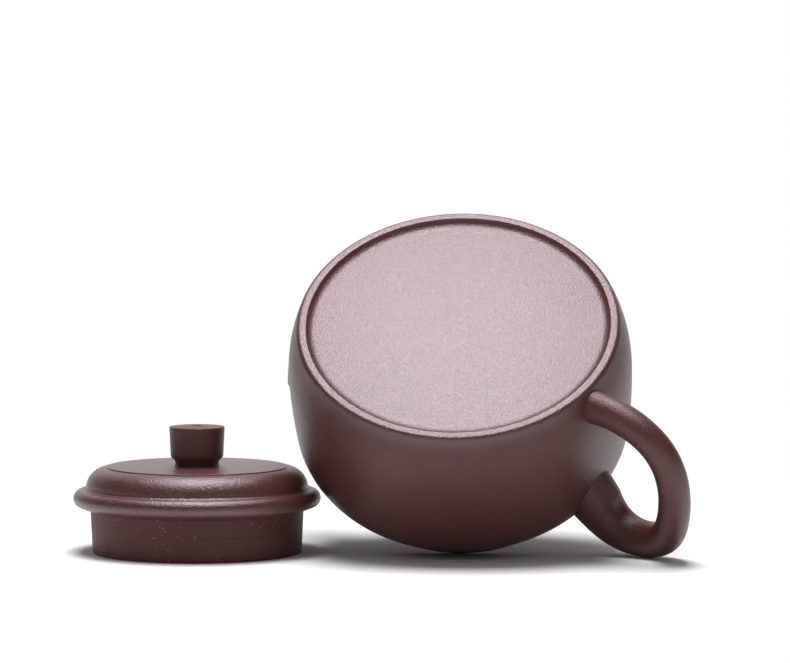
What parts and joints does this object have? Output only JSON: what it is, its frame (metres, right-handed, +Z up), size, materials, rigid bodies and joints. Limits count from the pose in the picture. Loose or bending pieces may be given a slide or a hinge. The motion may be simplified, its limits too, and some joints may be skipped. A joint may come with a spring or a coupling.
{
  "type": "yixing clay teapot with its lid taken off",
  "caption": "Round unglazed clay teapot tipped on its mouth and loop handle to show its foot, with the drum-knobbed lid standing beside it.",
  "frame": {"origin": "centre of the whole part's box, on the table it lies on", "axes": "+X to the right with the lid at -X and the handle at +X, +Y away from the viewer, +Z up; the pot's foot faces up and to the front"},
  "size_m": [0.1778, 0.1054, 0.0977],
  "materials": {
    "clay": "satin"
  },
  "bodies": {
    "pot": {"base_disc": "clay", "foot_ring": "clay", "body_wall": "clay", "shoulder_disc": "clay", "mouth_ring": "clay", "handle": "clay", "spout": "clay"},
    "lid": {"lid_flange": "clay", "lid_bead": "clay", "lid_plate": "clay", "lid_disc": "clay", "knob": "clay"}
  },
  "joints": [
    {"name": "lid_lift", "type": "slide", "parent": "pot", "child": "lid", "axis": [-0.6, 0, 0.8], "range_m": [0, 0.09]}
  ]
}
